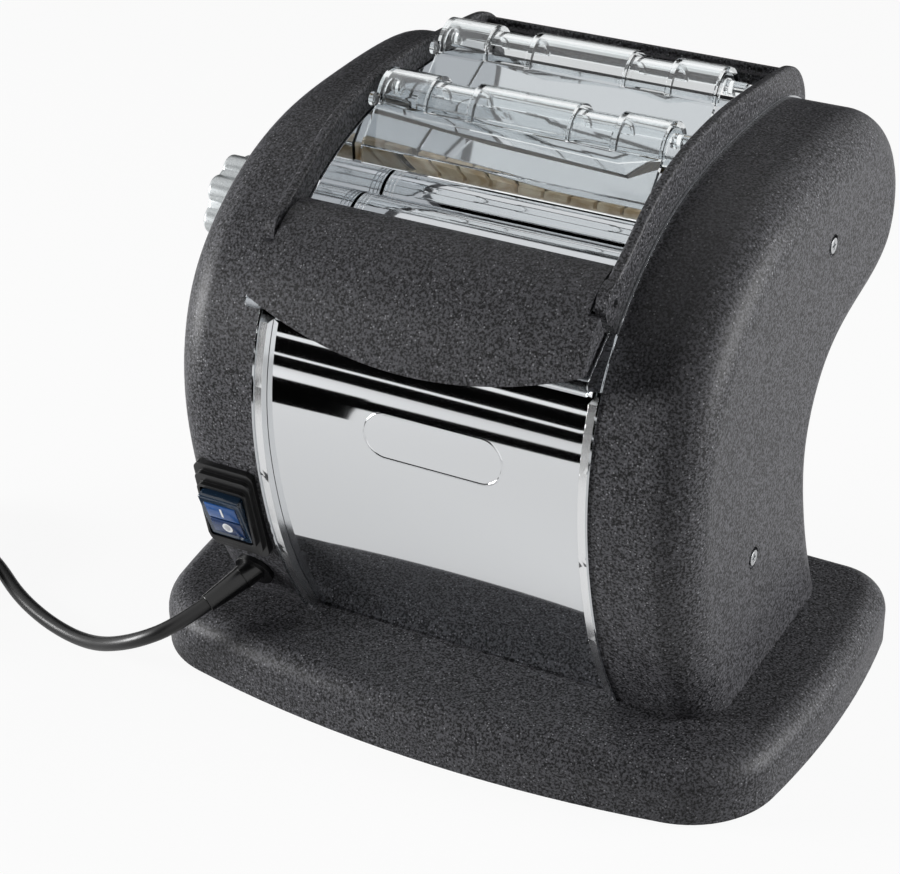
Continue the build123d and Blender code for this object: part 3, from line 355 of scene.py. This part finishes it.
def finishOf(nodeName):
    return ownFinish.get(nodeName, slotFinish[slotOf[nodeName]])


for nodeName, node in nodes.items():
    node.data.materials.clear()
    node.data.materials.append(finishOf(nodeName))


def meshOf(name, shape, finishes):
    # a mesh from a bmesh, which is freed
    mesh = bpy.data.meshes.new(name)
    shape.to_mesh(mesh)
    shape.free()
    for finish in finishes:
        mesh.materials.append(finish)
    return mesh


def addPiece(name, shape, finishes, body, replaced=()):
    # a finished piece from a bmesh, riding on a body
    piece = placeObject(name, meshOf(name, shape, finishes))
    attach(piece, body)
    if replaced:
        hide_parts(*replaced)
    return piece


easing = {
    "angle": 32.0,        # degrees, above which an edge counts as sharp
    "segments": 2,
    "weld": 0.02,
    "flatAngle": 0.6,     # degrees, below which two faces become one
}


def smooth(piece, angle=easing["angle"]):
    piece.data.shade_smooth()
    piece.data.set_sharp_from_angle(angle=radians(angle))


def dressNode(nodeName, bevel):
    # the node's own shape, merged, with its sharp edges eased by a small round
    shape = bmesh.new()
    shape.from_mesh(nodes[nodeName].data)
    bmesh.ops.remove_doubles(shape, verts=shape.verts[:], dist=easing["weld"] * mm)
    bmesh.ops.dissolve_limit(
        shape, angle_limit=radians(easing["flatAngle"]), verts=shape.verts[:], edges=shape.edges[:],
        delimit={"NORMAL"},
    )
    piece = addPiece(
        nodeName + "_finished", shape, [finishOf(nodeName)], bodyOf[nodeName], [nodeName]
    )
    smooth(piece)
    if bevel:
        rounding = piece.modifiers.new("ease", "BEVEL")
        rounding.width = bevel * mm
        rounding.segments = easing["segments"]
        rounding.limit_method = "ANGLE"
        rounding.angle_limit = radians(easing["angle"])
        rounding.harden_normals = True
    else:
        # flat faces stay flat where a large round meets them
        flat = piece.modifiers.new("flat", "WEIGHTED_NORMAL")
        flat.keep_sharp = True
    return piece


# how far each node's sharp edges are eased; 0 leaves them to the solid's own rounds
easedNodes = {
    "base_housing": 0.0,
    "left_cover": 0.0,
    "right_cover": 0.0,
    "left_guard_rail": 0.0,
    "right_guard_rail": 0.0,
    "rear_guard_bar": 0.0,
    "front_panel": 0.0,
    "rear_panel": 0.0,
    "front_flap": 0.35,
    "flap_hinge_pins": 0.2,
    "front_clear_guard": 0.35,
    "rear_clear_guard": 0.35,
    "left_side_plate": 0.2,
    "right_side_plate": 0.2,
    "left_trim_strip": 0.25,
    "right_trim_strip": 0.25,
    "left_edge_plate": 0.15,
    "right_edge_plate": 0.15,
    "front_smooth_roller": 0.2,
    "rear_smooth_roller": 0.2,
    "front_cutter_roller": 0.2,
    "rear_cutter_roller": 0.2,
    "front_comb": 0.3,
    "rear_comb": 0.3,
    "thickness_knob": 0.6,
    "knob_shaft": 0.0,
    "switch_pod": 0.5,
    "rocker": 0.7,
    "cable_gland": 0.3,
    "strain_relief": 0.3,
    "cover_screws": 0.12,
    "rubber_feet": 0.3,
}
finished = {nodeName: dressNode(nodeName, bevel) for nodeName, bevel in easedNodes.items()}
print("shells eased:", len(easedNodes))


def sizeMatrix(size):
    return Matrix.Diagonal((*(v * mm for v in size), 1.0))


def ringEdges(shape, ring):
    return [edge for edge in shape.edges if edge.verts[0] in ring and edge.verts[1] in ring]


def easeEdges(shape, width, segments):
    bmesh.ops.bevel(
        shape, geom=shape.edges[:], offset=width * mm, segments=segments, profile=0.5, affect="EDGES",
        material=-1,
    )


emboss = {
    "middle": (6.0, 152.0),    # x and z on the front panel
    "width": 67.0,
    "height": 22.0,
    "segments": 56,
    # how far in from the outline, and how proud of the panel
    "rings": [(0.0, -0.05), (0.4, 0.35), (0.8, 0.35), (1.2, -0.05)],
    "sightFrom": -300.0,       # y in front of the machine, from where the panel is looked for
    "smoothAngle": 60.0,
}


def makeEmboss():
    # a pill-shaped line pressed into the chrome, raised from the panel
    source = nodes["front_panel"].data
    panel = BVHTree.FromPolygons(
        [v.co for v in source.vertices], [p.vertices[:] for p in source.polygons]
    )
    inward = Vector((0.0, 1.0, 0.0))
    shape = bmesh.new()
    shift = (emboss["width"] - emboss["height"]) / 2
    rings = []
    for inset, proud in emboss["rings"]:
        ring = bmesh.ops.create_circle(
            shape, segments=emboss["segments"], radius=emboss["height"] / 2 - inset,
            matrix=Matrix.Rotation(pi / emboss["segments"], 4, "Z"),
        )["verts"]
        for point in ring:
            x = emboss["middle"][0] + point.co.x + (shift if point.co.x > 0 else -shift)
            z = emboss["middle"][1] + point.co.y
            face = panel.ray_cast(Vector((x, emboss["sightFrom"], z)) * mm, inward)[0]
            point.co = face - inward * proud * mm
        rings.append(ringEdges(shape, ring))
    for outer, inner in zip(rings, rings[1:]):
        bmesh.ops.bridge_loops(shape, edges=outer + inner)
    bmesh.ops.recalc_face_normals(shape, faces=shape.faces[:])
    smooth(addPiece("panel_emboss", shape, [chromePlate], "frame"), emboss["smoothAngle"])


makeEmboss()

rockerFace = {
    "pivot": (-98.5, -107.149, 91.55),
    "lean": 21.5,              # degrees
    "top": 6.0,                # from the pivot to the cap's face
    "shift": 5.3,              # from the pivot, up or down the face, to each half's middle
    "halfSize": (16.5, 9.6, 0.9),
    "round": 0.3,
    "roundSegments": 3,
    "smoothAngle": 50.0,
    "barSize": (1.0, 5.6, 0.3),
    "ovalSize": (5.2, 5.8),
    "ovalLine": 1.0,
    "ovalHeight": 0.15,
    "ovalSegments": 28,
}


def rockerPlace(up, out):
    # a place on the rocker's face, with its own X across, Y up and Z out of the machine
    lean = radians(rockerFace["lean"])
    outward = Vector((0.0, -cos(lean), -sin(lean)))
    upward = Vector((0.0, -sin(lean), cos(lean)))
    turn = Matrix((Vector((1.0, 0.0, 0.0)), upward, outward)).transposed().to_4x4()
    middle = Vector(rockerFace["pivot"]) + outward * (rockerFace["top"] + out) + upward * up
    return Matrix.Translation(middle * mm) @ turn


def makeRockerFace():
    # the rocker's face as two flat halves, the upper in a lighter blue with painted light and the lower in a
    # darker blue with painted shade, standing in for the two faces of its V, and its generic on and off marks
    bodyName = bodyOf["rocker"]
    shift = rockerFace["shift"]
    faceOut = rockerFace["halfSize"][2] / 2
    # the upper half carries the painted light, the lower the painted shade
    halves = (("rocker_on_half", shift, paintedLightBlue), ("rocker_off_half", -shift, paintedShadeBlue))
    for name, up, finish in halves:
        half = bmesh.new()
        place = rockerPlace(up, 0.0) @ sizeMatrix(rockerFace["halfSize"])
        bmesh.ops.create_cube(half, size=1.0, matrix=place)
        easeEdges(half, rockerFace["round"], rockerFace["roundSegments"])
        smooth(addPiece(name, half, [finish], bodyName), rockerFace["smoothAngle"])
    bar = bmesh.new()
    place = rockerPlace(shift, faceOut) @ sizeMatrix(rockerFace["barSize"])
    bmesh.ops.create_cube(bar, size=1.0, matrix=place)
    addPiece("rocker_on_mark", bar, [markWhite], bodyName)
    oval = bmesh.new()
    line, height = rockerFace["ovalLine"], rockerFace["ovalHeight"]
    rings = []
    for inset, out in ((0.0, 0.0), (0.0, height), (line, height), (line, 0.0)):
        size = [side / 2 - inset for side in rockerFace["ovalSize"]]
        place = rockerPlace(-shift, faceOut + out) @ sizeMatrix((*size, 1.0))
        ring = bmesh.ops.create_circle(
            oval, segments=rockerFace["ovalSegments"], radius=1.0, matrix=place
        )["verts"]
        rings.append(ringEdges(oval, ring))
    for first, second in zip(rings, rings[1:] + rings[:1]):
        bmesh.ops.bridge_loops(oval, edges=first + second)
    bmesh.ops.recalc_face_normals(oval, faces=oval.faces[:])
    addPiece("rocker_off_mark", oval, [markWhite], bodyName)


makeRockerFace()
print("emboss and rocker marks made")

feedGuides = {
    "halfWidth": 72.6,
    "thickness": 1.0,
    "round": 0.3,
    "roundSegments": 2,
    "smoothAngle": 25.0,
    # the polished sheets that lead a sheet of pasta down to the cutters: (y, z) from low to high
    "lines": {
        "front_feed_guide": [(22.2, 213.4), (22.2, 218.6), (24.4, 220.0), (35.6, 227.2)],
        "rear_feed_guide": [(57.6, 219.6), (60.0, 221.6), (86.6, 240.6), (88.4, 244.0)],
    },
}


def makeFeedGuide(name, line):
    shape = bmesh.new()
    ends = [shape.verts.new(Vector((-feedGuides["halfWidth"], y, z)) * mm) for y, z in line]
    run = [shape.edges.new(pair) for pair in zip(ends, ends[1:])]
    swept = bmesh.ops.extrude_edge_only(shape, edges=run)["geom"]
    far = [part for part in swept if isinstance(part, bmesh.types.BMVert)]
    bmesh.ops.translate(shape, verts=far, vec=(2 * feedGuides["halfWidth"] * mm, 0.0, 0.0))
    bmesh.ops.recalc_face_normals(shape, faces=shape.faces[:])
    bmesh.ops.solidify(shape, geom=shape.faces[:], thickness=feedGuides["thickness"] * mm)
    bmesh.ops.recalc_face_normals(shape, faces=shape.faces[:])
    piece = addPiece(name, shape, [mirrorSteel], "frame")
    bend = piece.modifiers.new("bend", "BEVEL")
    bend.width = feedGuides["round"] * mm
    bend.segments = feedGuides["roundSegments"]
    smooth(piece, feedGuides["smoothAngle"])


for guideName, guideLine in feedGuides["lines"].items():
    makeFeedGuide(guideName, guideLine)

combTops = {
    "pitch": 13.0,
    "count": 11,
    "size": (11.5, 4.2, 8.4),
    "middle": (19.0, 214.8),    # y and z, standing on the front comb's spine
    "round": 0.5,
    "roundSegments": 2,
}


def makeCombTops():
    # the square heads that stand on the comb, one for each pair of noodles
    shape = bmesh.new()
    for step in range(combTops["count"]):
        x = (step - combTops["count"] // 2) * combTops["pitch"]
        place = Matrix.Translation(Vector((x, *combTops["middle"])) * mm)
        bmesh.ops.create_cube(shape, size=1.0, matrix=place @ sizeMatrix(combTops["size"]))
    easeEdges(shape, combTops["round"], combTops["roundSegments"])
    smooth(addPiece("front_comb_heads", shape, [creamAcetal], "frame"))


makeCombTops()
print("feed guides and comb heads made")

plug = {
    "tail": (-327.008, -144.354, 18.2),    # where the cord enters it
    "heading": -51.904,                    # degrees, from the tail towards the pins
    "pinsFrom": 52.3,                      # from the tail to just past the face the pins stand on
}
plugAlong = Vector((cos(radians(plug["heading"])), sin(radians(plug["heading"])), 0.0))


def makePlug():
    # the plug, with its pins in metal
    piece = dressNode("mains_plug", 0.0)
    piece.data.materials.append(plugBrass)
    face = (Vector(plug["tail"]) + plugAlong * plug["pinsFrom"]) * mm
    for polygon in piece.data.polygons:
        if (polygon.center - face).dot(plugAlong) > 0:
            polygon.material_index = 1
    return piece


mainsPlug = makePlug()

cord = {
    "diameter": 7.0,
    "floor": 3.6,         # height of the centre line where the cord lies flat
    # from the strain relief's end, through the air, along the surface, to the coil
    "route": [
        (-110.774, -114.548, 41.469), (-119.0, -129.5, 35.5), (-132.5, -136.0, 28.2),
        (-150.0, -134.5, 18.5), (-168.0, -128.5, 9.3), (-187.0, -122.5, 4.4), (-208.0, -116.0, 3.6),
        (-231.0, -105.5, 3.6), (-254.0, -90.0, 3.6), (-272.0, -81.0, 3.6),
    ],
    "coilCentre": (-310.9, -102.5),
    "outer": 42.0,
    "inner": 35.0,
    "start": 60.0,        # degrees, where the cord meets the coil
    "end": 1657.5,
    "step": 15.0,
    "change": 40.0,       # degrees that a turn takes to move to the next place
    # where a turn moves in, up, out and up again, so that none lies in another
    "changes": [(380.0, "in"), (700.0, "up"), (1020.0, "out"), (1340.0, "up")],
    # over its last degrees the coil moves inwards and up, to meet the plug
    "settle": {"degrees": 45.0, "inward": 3.5, "upward": 0.3},
    "intoPlug": (-12.0, 0.0, 13.2),    # along the plug, from its tail
    "roundness": 6,       # the curve's own steps, round the cord and along it
}


def ease(share):
    share = min(1.0, max(0.0, share))
    return share * share * (3 - 2 * share)


def coilPoint(angle):
    radius, height = cord["outer"], cord["floor"]
    for start, way in cord["changes"]:
        share = ease((angle - start) / cord["change"])
        if way == "up":
            height += share * cord["diameter"]
        else:
            radius += share * (cord["outer"] - cord["inner"]) * (1 if way == "out" else -1)
    settle = cord["settle"]
    share = ease((angle - cord["end"] + settle["degrees"]) / settle["degrees"])
    radius -= share * settle["inward"]
    x = cord["coilCentre"][0] + radius * cos(radians(angle))
    y = cord["coilCentre"][1] + radius * sin(radians(angle))
    return (x, y, height + settle["upward"] * share)


def cordPoints():
    points = list(cord["route"])
    angle = cord["start"]
    while angle < cord["end"]:
        points.append(coilPoint(angle))
        angle += cord["step"]
    points.append(coilPoint(cord["end"]))
    points += [tuple(Vector(plug["tail"]) + plugAlong * ahead) for ahead in cord["intoPlug"]]
    return points


def makeCord():
    line = bpy.data.curves.new("mains_cord", "CURVE")
    line.dimensions = "3D"
    line.bevel_depth = cord["diameter"] / 2 * mm
    line.bevel_resolution = cord["roundness"]
    line.resolution_u = cord["roundness"]
    line.use_fill_caps = True
    spline = line.splines.new("NURBS")
    points = cordPoints()
    spline.points.add(len(points) - 1)
    for point, place in zip(spline.points, points):
        point.co = (*(Vector(place) * mm), 1.0)
    spline.order_u = 3
    spline.use_endpoint_u = True
    spline.use_smooth = True
    line.materials.append(cordPvc)
    piece = placeObject("mains_cord", line)
    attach(piece, "frame")
    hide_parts("cord_tube", "cord_coil")
    return piece


mainsCord = makeCord()


def curveLength(piece):
    # length of a curve's own line, with its bevel left off
    bare = piece.data.copy()
    bare.bevel_depth = 0.0
    probe = bpy.data.objects.new("probe", bare)
    line = bpy.data.meshes.new_from_object(probe)
    spots = [vertex.co for vertex in line.vertices]
    total = sum((spots[a] - spots[b]).length for a, b in (edge.vertices for edge in line.edges))
    bpy.data.objects.remove(probe)
    bpy.data.meshes.remove(line)
    bpy.data.curves.remove(bare)
    return total


cordLength = curveLength(mainsCord)
print("cord length:", round(cordLength, 4))

# the stage is in metres
stage = {
    "floorSize": 8.0,
    "floorColour": "#f4f4f4",
    "glow": 0.93,              # share of plain white where the floor is seen straight
    "mirrorGlow": 0.55,        # and where it is mirrored or seen through the guards
    "worldFill": 0.07,
    "cardColour": "#050505",
    "cardThickness": 0.001,
    # black cards that only mirror-like surfaces see: middle, size, and turn about Z in degrees
    "cards": {
        "nearCard": ((-0.36, -0.75, 0.003), (1.1, 0.26, 0.0), -25.0),
        "leftCard": ((-0.75, -0.50, 0.002), (0.9, 0.50, 0.0), -25.0),
        "wallLow": ((-0.80, -1.62, 0.075), (2.4, 0.0, 0.15), -25.0),
        "wallMiddle": ((-0.80, -1.62, 0.305), (2.4, 0.0, 0.23), -25.0),
        "wallHigh": ((-0.80, -1.62, 1.48), (2.4, 0.0, 2.0), -25.0),
        "backCard": ((-0.85, 1.25, 0.65), (2.4, 0.0, 1.3), 34.0),
    },
    # place, the point it is aimed at, side, and power in watts
    "lamps": {
        "topSoftbox": ((0.1, 0.35, 1.4), (0.0, 0.0, 0.15), 0.9, 1.0),
        "leftSoftbox": ((-1.5, -0.85, 0.38), (0.0, 0.0, 0.12), 0.6, 34.0),
        "rightSoftbox": ((1.35, 0.45, 0.40), (0.0, 0.0, 0.12), 0.7, 18.0),
    },
}


def makeFloor():
    # matt where it is lit, and plain white by a fixed share where it is seen
    shape = bmesh.new()
    bmesh.ops.create_grid(shape, x_segments=1, y_segments=1, size=stage["floorSize"] / 2)
    made = bpy.data.materials.new("paleFloor")
    floor = placeObject("floor", meshOf("floor", shape, [made]))
    tree = bareTree(made)
    matt = addNode(tree, "BsdfDiffuse", {"Color": linear(stage["floorColour"])})
    white = addNode(tree, "Emission", {"Strength": 1.0})
    path = addNode(tree, "LightPath").outputs
    mirrored = addNode(
        tree, "Math", {"operation": "MAXIMUM"}, {0: path["Is Glossy Ray"], 1: path["Is Transmission Ray"]}
    )
    dimmer = addNode(
        tree, "Math", {"operation": "MULTIPLY", 1: stage["mirrorGlow"]}, {0: mirrored.outputs[0]}
    )
    share = addNode(
        tree, "Math", {"operation": "MULTIPLY_ADD", 1: stage["glow"]},
        {0: path["Is Camera Ray"], 2: dimmer.outputs[0]},
    )
    mix = addNode(
        tree, "MixShader", links={"Fac": share.outputs[0], 1: matt.outputs[0], 2: white.outputs[0]}
    )
    addNode(tree, "OutputMaterial", links={"Surface": mix.outputs[0]})


def makeCards():
    # a black card is a cube pressed flat, hidden from every ray but a mirrored one
    made = bpy.data.materials.new("blackCard")
    tree = bareTree(made)
    matt = addNode(tree, "BsdfDiffuse", {"Color": linear(stage["cardColour"])})
    addNode(tree, "OutputMaterial", links={"Surface": matt.outputs[0]})
    for name, (middle, size, turn) in stage["cards"].items():
        shape = bmesh.new()
        place = Matrix.Translation(middle) @ Matrix.Rotation(radians(turn), 4, "Z")
        flat = Matrix.Diagonal((*(max(side, stage["cardThickness"]) for side in size), 1.0))
        bmesh.ops.create_cube(shape, size=1.0, matrix=place @ flat)
        card = placeObject(name, meshOf(name, shape, [made]))
        card.visible_camera = False
        card.visible_diffuse = False
        card.visible_transmission = False
        card.visible_shadow = False


def makeWorld():
    # white where it is seen or mirrored, a gentler fill where it lights
    world = bpy.data.worlds.new("studio")
    bpy.context.scene.world = world
    tree = bareTree(world)
    path = addNode(tree, "LightPath").outputs
    seen = addNode(
        tree, "Math", {"operation": "MAXIMUM"}, {0: path["Is Camera Ray"], 1: path["Is Glossy Ray"]}
    )
    seenToo = addNode(
        tree, "Math", {"operation": "MAXIMUM"}, {0: seen.outputs[0], 1: path["Is Transmission Ray"]}
    )
    power = addNode(
        tree, "MapRange", {"To Min": stage["worldFill"], "To Max": 1.0}, {"Value": seenToo.outputs[0]}
    )
    sky = addNode(
        tree, "Background", {"Color": (1.0, 1.0, 1.0, 1.0)}, {"Strength": power.outputs["Result"]}
    )
    addNode(tree, "OutputWorld", links={"Surface": sky.outputs[0]})


def makeLamps():
    for name, (place, aim, side, power) in stage["lamps"].items():
        lamp = bpy.data.lights.new(name, "AREA")
        lamp.shape = "SQUARE"
        lamp.size = side
        lamp.energy = power
        holder = placeObject(name, lamp)
        holder.location = place
        holder.rotation_euler = (Vector(aim) - Vector(place)).to_track_quat("-Z", "Y").to_euler()


makeFloor()
makeCards()
makeWorld()
makeLamps()
print("floor and lamps set")
